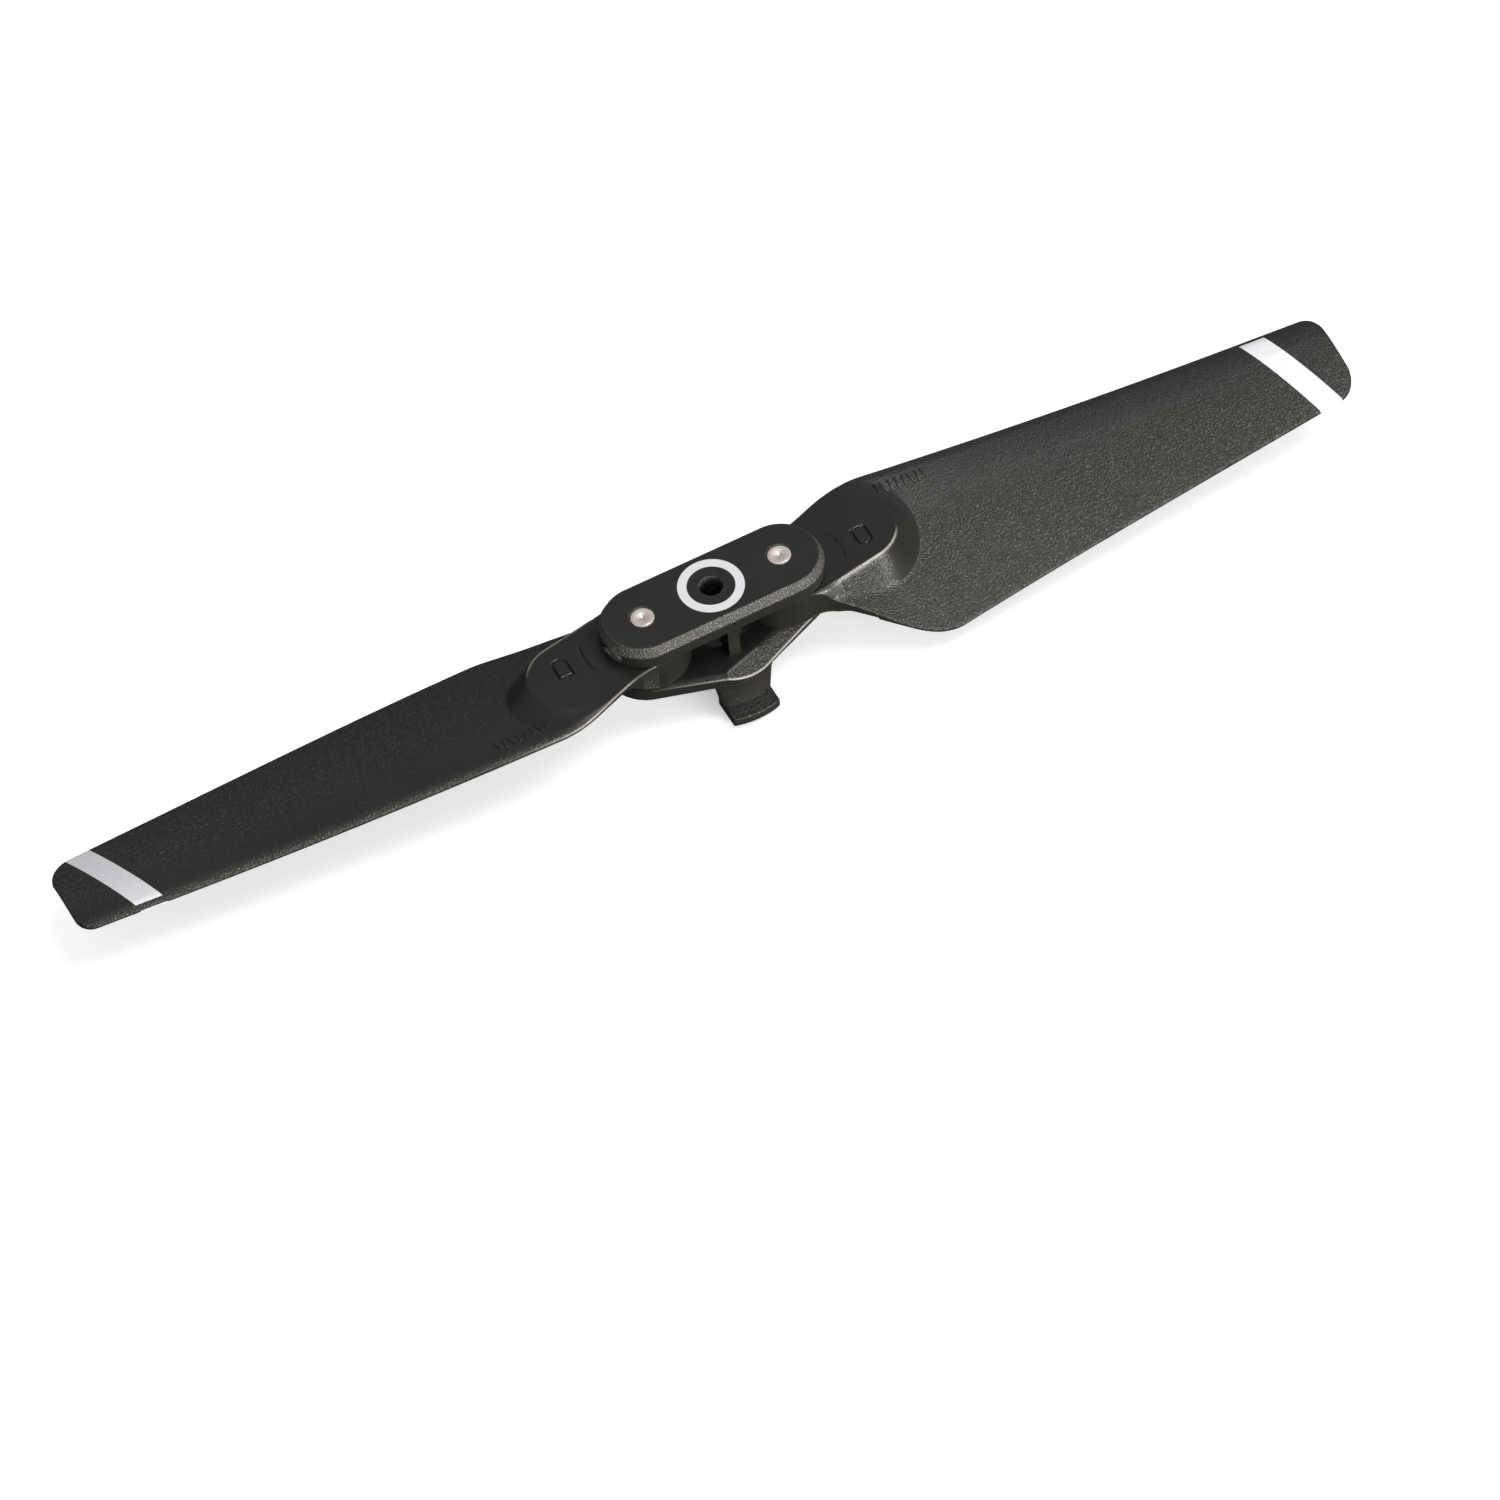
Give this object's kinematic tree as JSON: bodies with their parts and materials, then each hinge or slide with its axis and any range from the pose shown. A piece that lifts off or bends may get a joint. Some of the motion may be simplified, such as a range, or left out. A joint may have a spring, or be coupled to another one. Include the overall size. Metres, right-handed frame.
{
  "type": "folding drone propeller",
  "caption": "Folding propeller with twisted blades on pivot pins between a cap and a base plate with bayonet hooks for a motor.",
  "frame": {"origin": "on the spin axis, at the height of the hook ends", "axes": "+X along the unfolded blades towards the right blade's tip, +Y towards that blade's leading edge, +Z along the spin axis out of the cap"},
  "size_m": [0.12, 0.0174, 0.0102],
  "materials": {
    "hub_plastic": "black moulded, smooth underside and fine spark-eroded top",
    "cap_plastic": "black moulded, smooth with a white printed ring and a grained broken edge",
    "blade_plastic": "black moulded, fine spark-eroded grain, white printed tip band",
    "pin_steel": "turned, bright"
  },
  "bodies": {
    "hub": {"hub_base": "hub_plastic", "hub_cap": "cap_plastic", "right_pivot_pin": "pin_steel", "left_pivot_pin": "pin_steel"},
    "right_blade": {"right_blade": "blade_plastic"},
    "left_blade": {"left_blade": "blade_plastic"}
  },
  "joints": [
    {"name": "right_fold", "type": "hinge", "parent": "hub", "child": "right_blade", "pos_m": [0.0065, 0, 0.0066], "axis": [0, 0, 1], "range_deg": [-91, 91]},
    {"name": "left_fold", "type": "hinge", "parent": "hub", "child": "left_blade", "pos_m": [-0.0065, 0, 0.0066], "axis": [0, 0, 1], "range_deg": [-91, 91]}
  ]
}
